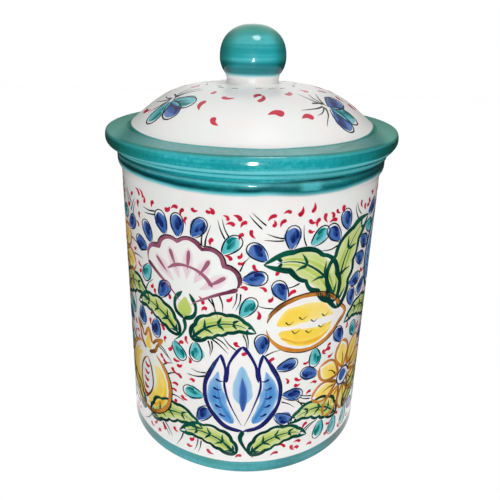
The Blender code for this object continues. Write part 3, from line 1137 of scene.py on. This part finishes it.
def feather_leaf(brush, reach, breadth, bow, thick, lobes=5):
    """A long leaf with a lobed edge, a rib and a vein for each lobe."""
    spine = Spine([(0, 0), (reach * 0.35, bow), (reach * 0.72, bow), (reach, 0)])
    swell = np.sin(pi * MANY ** 0.75) ** 0.85
    lobe = 0.78 + 0.22 * np.abs(np.sin(lobes * pi * MANY)) ** 0.7
    inner = np.linspace(0.12, 0.86, 9)
    broad = np.sin(pi * inner ** 0.75) ** 0.85
    for side in (1, -1):
        wash = spine.at(inner, side * breadth * 0.22 * broad)
        brush.stroke("lime", wash, breadth * 0.36, "wash", WASH, 0.55, 0.55)
        heart = spine.at(inner, side * breadth * 0.12 * broad)
        brush.stroke("lime", heart, breadth * 0.17, "leaf", HEART, 1.0, 0.7)
        for k in range(lobes):
            start, end = (k + 0.35) / lobes, (k + 0.72) / lobes
            if end > 0.95:
                continue
            root = spine.at(start, side * 0.4)[0]
            tip = spine.at(end, side * breadth * 0.34 * sin(pi * end ** 0.75) ** 0.85)[0]
            elbow = spine.at((start + end) / 2, side * breadth * 0.13)[0]
            brush.stroke("pine", [root, elbow, tip], 1.3, "comma", VEIN, 1.0)
        edge = spine.at(MANY, side * breadth / 2 * swell * lobe)
        brush.outline("pine", edge, thick, 1.15)
    brush.stroke("pine", spine.at(np.linspace(0.0, 0.88, 9)), 1.5, "tail", VEIN, 1.0)


def lemon(brush):
    """A ripe lemon under two large feather leaves."""
    turn = np.linspace(0.12, 2 * pi - 0.10, 60)
    nose = 1 + 0.22 * np.exp(-((turn - pi) / 0.26) ** 2)
    edge = np.column_stack([-17.0 * np.cos(turn) * nose, 12.4 * np.sin(turn)])
    brush.stroke("sun", [(-13, 0.5), (-5, 4.2), (5, 4.4), (13, 0.8)], 9.0, "leaf", WASH, 0.62, 0.40)
    brush.stroke("sun", [(-12, -3.2), (-3, -6), (6, -5.4), (13, -2.4)], 7.4, "leaf", WASH, 0.80, 0.40)
    brush.stroke("sun", [(-11, -5.4), (-2, -8.8), (7, -8), (13, -4.4)], 3.0, "leaf", HEART, 1.15, 0.6)
    pores = ((-8, 1.5), (-2.5, 3.2), (3.0, 1.2), (8.2, 2.6), (-5.0, -2.6), (1.0, -3.4), (7.0, -2.2))
    for x, y in pores:
        brush.hair([(x - 1.6, y), (x, y - 1.3), (x + 1.8, y)], 0.55)
    shaded(brush, "amber", edge, 2.0, 0.95)
    feather_leaf(brush.at(15, 3, 66), 40, 15.5, 7, 2.3, 4)
    feather_leaf(brush.at(13, 7, 150, 1.0, True), 38, 14.5, 7, 2.3, 4)


# %% Tulip
def tulip(brush):
    """Three petals in blue: two that curl outwards and one between them."""
    for side in (1, -1):
        half = brush if side > 0 else brush.at(0, 0, 180, 1.0, True)
        half.stroke("sky", [(4, 4), (9, 11), (11, 20), (9.5, 29)], 7.5, "leaf", WASH, 0.62, 0.45)
        half.stroke("sky", [(5, 6), (9, 14), (10, 23)], 2.6, "comma", HEART, 0.85, 0.5)
        for k in range(5):
            level = 8.5 + 4.2 * k
            reach = 13.2 - 0.10 * (level - 18) ** 2 / 4
            vein = [(reach - 1.2, level), (reach - 3.0, level - 1.0), (reach - 4.6, level - 0.6)]
            half.stroke("sky", vein, 1.0, "comma", VEIN, 1.25)
        outer = [(0, 0), (8, 3), (14.2, 12), (15, 22), (11.5, 31), (8.2, 37)]
        shaded(half, "sky", outer, 1.8, 1.5, -1)
        curl = [(8.2, 37), (6.6, 30), (7.2, 22), (4.4, 12), (0.6, 3)]
        half.stroke("sky", curl, 1.3, "tail", OUTLINE, 1.4)
    brush.stroke("sky", [(0, 13), (0, 22), (0, 32)], 8.0, "leaf", WASH, 0.42, 0.5)
    brush.stroke("cobalt", [(0, 10), (0.4, 18), (0, 27)], 3.4, "leaf", HEART, 0.85, 0.6)
    brush.outline("sky", [(-6.4, 24), (-5.4, 32), (-2.2, 38), (0.4, 41)], 1.5, 1.5)
    brush.outline("sky", [(0.4, 41), (3.2, 37), (5.6, 31), (6.4, 24)], 1.5, 1.5)
    brush.stroke("pine", [(0, 0), (-1.2, -4), (0.8, -9), (4, -14)], 2.0, "tail", OUTLINE, 1.1)


# %% Pomegranate
def pomegranate(brush):
    """A ripe yellow fruit, split to show its seeds, with a crown."""
    rim = 14.0
    for side in (1, -1):
        turn = np.radians(np.linspace(-80, 62, 7))
        brush.stroke("sun", oval(turn, side * 9.2, 9.8), 7.4, "leaf", WASH, 0.62, 0.40)
        brush.stroke("sun", oval(turn, side * 11.4, 11.6), 3.0, "comma", HEART, 1.05, 0.6)
        edge = oval(np.radians(np.linspace(-96, 68, 12)), side * rim, rim * 1.04)
        shaded(brush, "amber", edge, 1.9, 0.90, -side)
        crown = [(side * 1.2, 12.5), (side * 4.6, 15), (side * 5.6, 18), (side * 8.2, 22)]
        brush.outline("amber", crown, 1.5)
        crown = [(side * 8.2, 22), (side * 4.4, 19.6), (side * 2.6, 17.6), (0, 23)]
        brush.outline("amber", crown, 1.4)
        split = [(0, -10.5), (side * 3.6, -5), (side * 4.3, 0.5), (side * 2.4, 6.5), (0, 9.5)]
        brush.outline("amber", split, 0.9, 1.35)
    brush.stroke("sun", [(0, 13.5), (0, 17.5), (0, 20)], 4.6, "comma", WASH, 0.7, 0.4)
    for k in range(5):
        level = -7.6 + 3.4 * k
        brush.stroke("cherry", [(-1.7, level), (0, level - 1.1), (1.7, level)], 1.4, "leaf", VEIN, 0.9)


# %% Carnation
def carnation(brush):
    """A mauve fan with a scalloped edge on a green calyx."""
    fan = np.radians(np.linspace(22, 158, 80))
    scallop = 21.0 + 2.6 * np.abs(np.sin((fan - fan[0]) * 5 * 180 / 136)) ** 0.7
    shaded(brush, "plum", oval(fan, scallop, scallop, 5), 1.9, 1.0, -1)
    brush.stroke("plum", oval(fan, 12.5, 12.5, 5)[6:-6:10], 1.4, "liner", VEIN, 0.80)
    for side in (1, -1):
        flank = [(side * 20, 12.6), (side * 12.5, 9), (side * 6, 5), (side * 2.6, 2)]
        brush.stroke("plum", flank, 1.8, "tail", OUTLINE, 1.0)
        calyx = [(0, -5), (side * 4.0, -2.5), (side * 4.6, 2.0), (side * 1.6, 6.5)]
        brush.outline("pine", calyx, 1.7, 1.1)
    for k in range(5):
        angle = radians(38 + 26 * k)
        c, s = cos(angle), sin(angle)
        outwards = [(reach * c, 5 + reach * s) for reach in (7, 13, 20)]
        brush.stroke("plum", outwards, 5.2, "petal", WASH, 0.26, 0.55)
        inwards = [(reach * c, 5 + reach * s) for reach in (19, 15, 11)]
        brush.stroke("plum", inwards, 1.6, "comma", HEART, 0.8)
    brush.stroke("lime", [(0, -4), (0, 0), (0, 4.5)], 6.5, "leaf", WASH, 0.9, 0.4)
    brush.stroke("pine", [(0, -5), (1.0, -9), (-0.8, -13), (-4, -17)], 1.6, "tail", OUTLINE, 0.9)


# %% Daisy
def daisy(brush):
    """Eight yellow petals round a blue eye."""
    for k in range(8):
        petal = brush.at(0, 0, 45 * k + 8)
        petal.stroke("sun", [(4.5, 0), (9, 0.3), (15.5, 0)], 6.4, "petal", WASH, 0.66, 0.42)
        petal.stroke("sun", [(5, 0), (10, 0)], 2.2, "comma", HEART, 1.1, 0.6)
        share = np.linspace(0, 1, 14)
        for side in (1, -1):
            edge = np.column_stack([4.2 + 13.0 * share, side * 4.1 * np.sin(pi * share ** 1.3) ** 0.7])
            petal.outline("amber", edge, 1.3, 0.95)
        petal.hair([(6, 0.4), (9, -0.3), (12, 0.2)], 0.6)
    brush.stroke("cobalt", [(-2.6, 0), (0, 0.3), (2.6, 0)], 5.2, "leaf", HEART, 0.75, 0.2)
    eye = oval(np.radians(np.linspace(0, 350, 12)), 4.0, 4.0)
    brush.stroke("cobalt", eye, 0.8, "liner", ACCENT, 1.35)


# %% [markdown]
# ## Small things between the flowers
# The ground is filled in the old way: blue and turquoise petals and thin blades grow out of the
# flowers' outlines, a spray of three petals goes wherever there is room, then twigs, and red commas in
# whatever is left. Each looks for its own free place, and leans away from its nearest neighbour.

# %% Petal, spray, twig and comma
def petal(brush, colour, reach=10.5, breadth=7.4):
    """Two loaded presses of a round brush, and a thin outline that misses them a little."""
    lean = brush.chance.choice((-1.0, 1.0)) * breadth
    brush.stroke(colour, [(0, 0), (reach * 0.5, 0.3), (reach, 0)], breadth, "petal", WASH, 0.66, 0.22)
    heart = [(reach * 0.30, 0), (reach * 0.92, lean * 0.10)]
    brush.stroke(colour, heart, breadth * 0.60, "leaf", HEART, 1.15, 0.60)
    deep = [(reach * 0.52, lean * 0.24), (reach * 0.80, lean * 0.22), (reach * 0.97, lean * 0.04)]
    brush.stroke(colour, deep, breadth * 0.30, "comma", VEIN, 1.7, 0.5)
    turn = np.linspace(0.25, 2 * pi - 0.35, 44)
    slip = brush.chance.uniform(-0.4, 0.4)
    reach_share = (1 - np.cos(turn)) / 2
    edge = np.column_stack([
        (reach + 0.9) * reach_share,
        slip * reach_share + (breadth / 2 + 0.25) * np.sin(turn) * (0.60 + 0.46 * reach_share)])
    brush.stroke("ink", edge, 0.62, "liner", ACCENT, 1.1, wander=0.2)


def spray(brush, first, second):
    """A thin stem with three petals at its end and a few hairs below them."""
    brush.hair([(0, 0), (4, 1.2), (8, 0)], 0.8)
    for turn, colour in ((-56, first), (0, second), (56, first)):
        petal(brush.at(7.0, 0.0, turn + brush.chance.uniform(-8, 8)), colour)
    for turn in (-150, -124, -96, 98, 122, 148):
        twig = brush.at(5.0, 0.2, turn + brush.chance.uniform(-7, 7))
        twig.hair([(1, 0), (5, 0.8), (brush.chance.uniform(8.0, 11.5), 0)])


def twigs(brush):
    """Two short parallel lines, drawn quickly."""
    for beside in (-0.95, 0.95):
        slant = brush.at(0, beside, brush.chance.uniform(-8, 8))
        slant.hair([(-4.0, 0), (0, 0.35), (brush.chance.uniform(3.4, 4.8), 0)])


def comma(brush):
    """A quick touch of a pointed brush."""
    reach = brush.chance.uniform(2.8, 4.4)
    touch = [(0, 0), (reach * 0.5, -0.55), (reach, 0.5)]
    brush.stroke("cherry", touch, brush.chance.uniform(1.4, 2.0), "comma", VEIN, 0.9, wander=0.03)


print("Motifs: feather leaf, lemon, tulip, pomegranate, carnation, daisy,",
      "petal, spray, twigs, comma")

# %% [markdown]
# ## Painting the wall
# Two staggered rows of flowers go round the jar, each with its leaves, and each turned a little
# differently. A seeded chance gives the small slips of a steady hand, and the same ones every time.

# %% The wall's flowers
PLACES = 7
PITCH = wall.girth / PLACES
UPPER_ROW, LOWER_ROW = 95.0, 39.0
paint = np.random.default_rng(20)
jar_pots = {}
wall_brush = Brush(wall, jar_pots, paint)


FLOWERS = {
    # flower: (size, how far it sits below its row, leaf length)
    pomegranate: (1.32, -1.0, 34),
    daisy: (1.30, 3.0, 32),
    tulip: (1.14, -14.0, 30),
    carnation: (1.14, -8.0, 30),
    lemon: (1.12, -14.0, 0),
}
INSIDE = {
    # flower: circles of x, y and radius that fill it
    pomegranate: [(0, 0, 12.5)],
    daisy: [(0, 0, 14)],
    tulip: [(0, 10, 8), (-6, 19, 7), (6, 19, 7), (0, 28, 6)],
    carnation: [(0, 10, 6), (-9, 16, 7), (0, 19, 8), (9, 16, 7)],
    lemon: [(-9, 0, 8), (0, 0, 11), (9, 0, 8)],
}


def bloom(brush, flower):
    """A flower with a feather leaf on each side of its foot."""
    size, shift, reach = FLOWERS[flower]
    foot = {tulip: -12.0, carnation: -13.0}.get(flower, -16.5) * size
    place = brush.at(0, shift, brush.chance.uniform(-12, 12), size)
    flower(place)
    place.keep_free(INSIDE[flower])
    if reach:
        for branch in (brush.at(-3, shift + foot, 168, 1.0, True), brush.at(3, shift + foot, 12)):
            feather_leaf(branch, reach, reach * 0.38, reach * 0.20, 1.9)


upper = (carnation, lemon, tulip, daisy, pomegranate, tulip, daisy)
lower = (tulip, daisy, carnation, lemon, carnation, lemon, pomegranate)
for height, flowers, start in ((UPPER_ROW, upper, -0.5), (LOWER_ROW, lower, 0.0)):
    for k, flower in enumerate(flowers):
        bloom(wall_brush.at((start + k) * PITCH, height), flower)
print("Flowers:", 2 * PLACES)

# %% Petals, blades, sprays, twigs and commas on the wall
outlines = {patch: list(marks) for patch, marks in wall.marks.items()}


def scatter(draw, tries, need, spin, low, high, root):
    """Draws wherever a random place has the room it needs, leaning away from its neighbour.

    With a root length, it draws only that near to a flower's outline, and starts on the outline.
    """
    drawn = 0
    for _ in range(tries):
        x = paint.uniform(0, wall.girth)
        y = paint.uniform(low, high)
        free, away = wall.room(x, y)
        gap = 0.0
        if root:
            gap, away = wall.room(x, y, outlines)
        if free < need or gap > root:
            continue
        draw(wall_brush.at(x, y, degrees(away) + paint.uniform(-spin, spin)).at(-gap, 0))
        drawn += 1
    return drawn


def two_ways(brush):
    """A spray with its colours one way or the other."""
    colours = ("cobalt", "turquoise") if brush.chance.random() < 0.5 else ("turquoise", "cobalt")
    spray(brush.at(-7, 0), *colours)


def rooted_petal(brush):
    """A smaller petal, blue or turquoise."""
    petal(brush, "cobalt" if brush.chance.random() < 0.56 else "turquoise", 9.6, 7.0)


def blade(brush):
    """One or two long hairs of black."""
    for k in range(brush.chance.integers(1, 3)):
        slant = brush.at(0, 1.6 * k, brush.chance.uniform(-16, 16))
        slant.hair([(0, 0), (4, 0.6), (brush.chance.uniform(7.0, 10.0), 0)], 0.74)


FILLERS = {
    # what to draw: (tries, room that it needs, spin, lowest place, highest place, root length)
    rooted_petal: (5000, 4.0, 12, 14, 129, 6.4),
    two_ways: (3000, 8.0, 20, 18, 123, 0),
    blade: (2600, 1.7, 24, 13, 129, 3.6),
    twigs: (2000, 3.4, 60, 12, 130, 0),
    comma: (9000, 1.8, 180, 10, 133, 0),
}
counts = [scatter(draw, *row) for draw, row in FILLERS.items()]
print("Petals, sprays, blades, twigs and commas:", counts)

# %% [markdown]
# ## Painting the lid
# The lid is painted more sparely, to leave its white dome quiet: three small sprays spaced round it,
# red commas in loose groups beside them, and short dashes round the neck.

# %% The lid's sprays, commas and dashes
LID_SPRAYS = ((212.0, 38.0), (318.0, 40.0), (84.0, 37.0))
LID_SPRAY_SIZE = 1.28
COMMAS_BESIDE = 12
COMMA_ROOM = 2.6
NECK_DASHES = 17
lid_pots = {}
lid_brush = Brush(dome, lid_pots, paint)


def toward(direction, reach):
    """A flat place on the dome: degrees round it and millimetres out."""
    return reach * cos(radians(direction)), reach * sin(radians(direction))


def round_dome(direction, reach, turn, size=1.0):
    """A brush on the dome, turned from the way outwards."""
    return lid_brush.at(*toward(direction, reach), direction + turn, size)


for k, (direction, reach) in enumerate(LID_SPRAYS):
    colours = ("cobalt", "turquoise") if k % 2 else ("turquoise", "cobalt")
    spray(round_dome(direction - 9, reach, 64, LID_SPRAY_SIZE), *colours)
    drawn = 0
    while drawn < COMMAS_BESIDE:
        x, y = toward(direction + paint.uniform(-56, 56), paint.uniform(27, 53))
        if dome.room(x, y)[0] < COMMA_ROOM:
            continue
        comma(lid_brush.at(x, y, paint.uniform(0, 360), paint.uniform(1.3, 1.8)))
        drawn += 1
for k in range(NECK_DASHES):
    dash = round_dome(360 * k / NECK_DASHES + paint.uniform(-7, 7), paint.uniform(19.0, 24.5), 90)
    dash.stroke("soot", [(-1.8, 0), (0, 0.4), (paint.uniform(1.2, 2.2), 0)], 0.9, "comma", VEIN, 0.9)
print("Lid: sprays", len(LID_SPRAYS), "commas", COMMAS_BESIDE * len(LID_SPRAYS), "dashes", NECK_DASHES)

# %% [markdown]
# ## Pigments
# Under a glaze a pigment has no colour of its own to speak of: thin, it tints the white, and thick, it
# goes deep. So each colour is a way from white through a pale and a full tone to a deep one, and the
# load that the brush left decides how far along it each spot is. A little noise along the hairs of
# the brush, and some pooling, make it wet.

# %% Paint materials
SHARP_PAINT = radians(50.0)
PIGMENTS = {
    # name: (thin, full, deep)
    "pine": ((60, 138, 110), (12, 92, 72), (0, 56, 46)),
    "lime": ((222, 228, 178), (190, 208, 106), (122, 166, 56)),
    "sun": ((253, 238, 166), (250, 214, 80), (234, 170, 44)),
    "amber": ((238, 184, 104), (212, 138, 56), (96, 54, 24)),
    "plum": ((234, 212, 220), (164, 96, 122), (104, 44, 72)),
    "sky": ((158, 200, 230), (66, 136, 204), (30, 34, 108)),
    "cobalt": ((128, 158, 210), (54, 98, 172), (20, 34, 96)),
    "turquoise": ((164, 220, 222), (82, 186, 194), (0, 112, 110)),
    "cherry": ((232, 120, 138), (206, 34, 66), (170, 14, 44)),
    "ink": ((104, 108, 132), (34, 36, 56), (12, 14, 24)),
    "soot": ((110, 108, 112), (24, 24, 28), (4, 4, 8)),
}


def pigment(name):
    """White ground tinted by as much of a pigment as the brush left."""
    glaze = Glaze("paint_" + name)
    pale, full, deep = (srgb(*tone) for tone in PIGMENTS[name])
    hairs = glaze.node("ShaderNodeAttribute", {"attribute_name": "grain"}, {}).outputs["Vector"]
    streak = glaze.noise_on(hairs, 2.6)
    pool = glaze.noise(210.0, shift=(2.0, 8.0, 1.0))
    wet = glaze.carried("load") * (0.62 + streak * 0.42 + pool * 0.38)
    colour = glaze.mix(wet.above(0.02, 0.26), tin_white(glaze), pale)
    colour = glaze.mix(wet.above(0.22, 0.66), colour, full)
    colour = glaze.mix(wet.above(0.72, 1.15), colour, deep)
    return glassy(glaze, colour)


def fired(canvas, pots, prefix):
    """Turns the pots of a canvas into one painted piece for each colour."""
    for colour, pot in sorted(pots.items()):
        mesh = mesh_of(prefix + colour, np.concatenate(pot.points).tolist(), pot.faces)
        load = mesh.attributes.new("load", "FLOAT", "POINT")
        load.data.foreach_set("value", np.concatenate(pot.load).astype(np.float32))
        grain = mesh.attributes.new("grain", "FLOAT_VECTOR", "POINT")
        grain.data.foreach_set("vector", np.concatenate(pot.grain).astype(np.float32).ravel())
        mesh.shade_smooth()
        mesh.set_sharp_from_angle(angle=SHARP_PAINT)
        mesh.materials.append(bpy.data.materials.get("paint_" + colour) or pigment(colour))
        piece = stand(prefix + colour, mesh)
        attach(piece, canvas.body)
        print(piece.name, "faces:", len(mesh.polygons))


fired(wall, jar_pots, "jar_paint_")
fired(dome, lid_pots, "lid_paint_")
